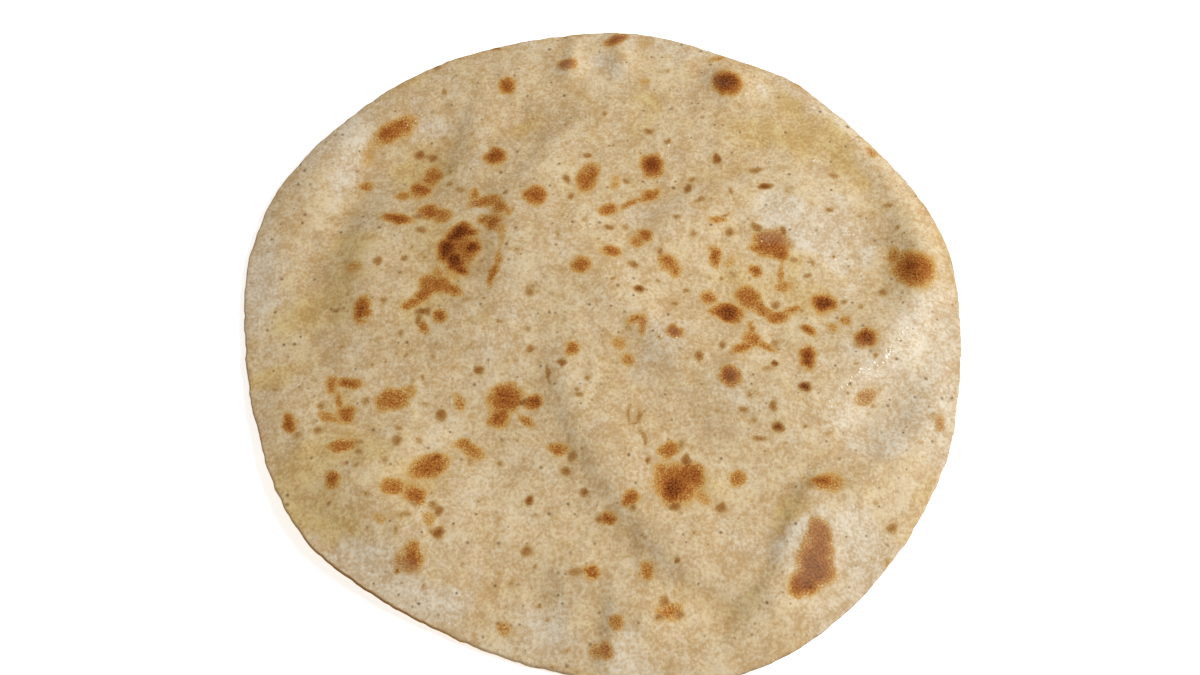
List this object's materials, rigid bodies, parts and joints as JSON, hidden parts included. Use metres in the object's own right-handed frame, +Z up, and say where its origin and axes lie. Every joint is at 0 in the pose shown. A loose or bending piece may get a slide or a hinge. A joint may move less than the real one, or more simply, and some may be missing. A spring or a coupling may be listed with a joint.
{
  "type": "chapati flatbread",
  "caption": "Whole round chapati: a thin, soft wheat flatbread, baked on a griddle, with low puffs and folds and browned spots, lying flat.",
  "frame": {"origin": "middle of the outline's box, on the flat surface that the bread lies on", "axes": "+Z up through the toasted top; +X and +Y lie in the surface, +X towards the low hollow inside the right rim and +Y away from the long curved fold near the front"},
  "size_m": [0.1993, 0.2027, 0.0088],
  "materials": {
    "crust": "matte"
  },
  "bodies": {
    "root": {"chapati": "crust"}
  },
  "joints": []
}
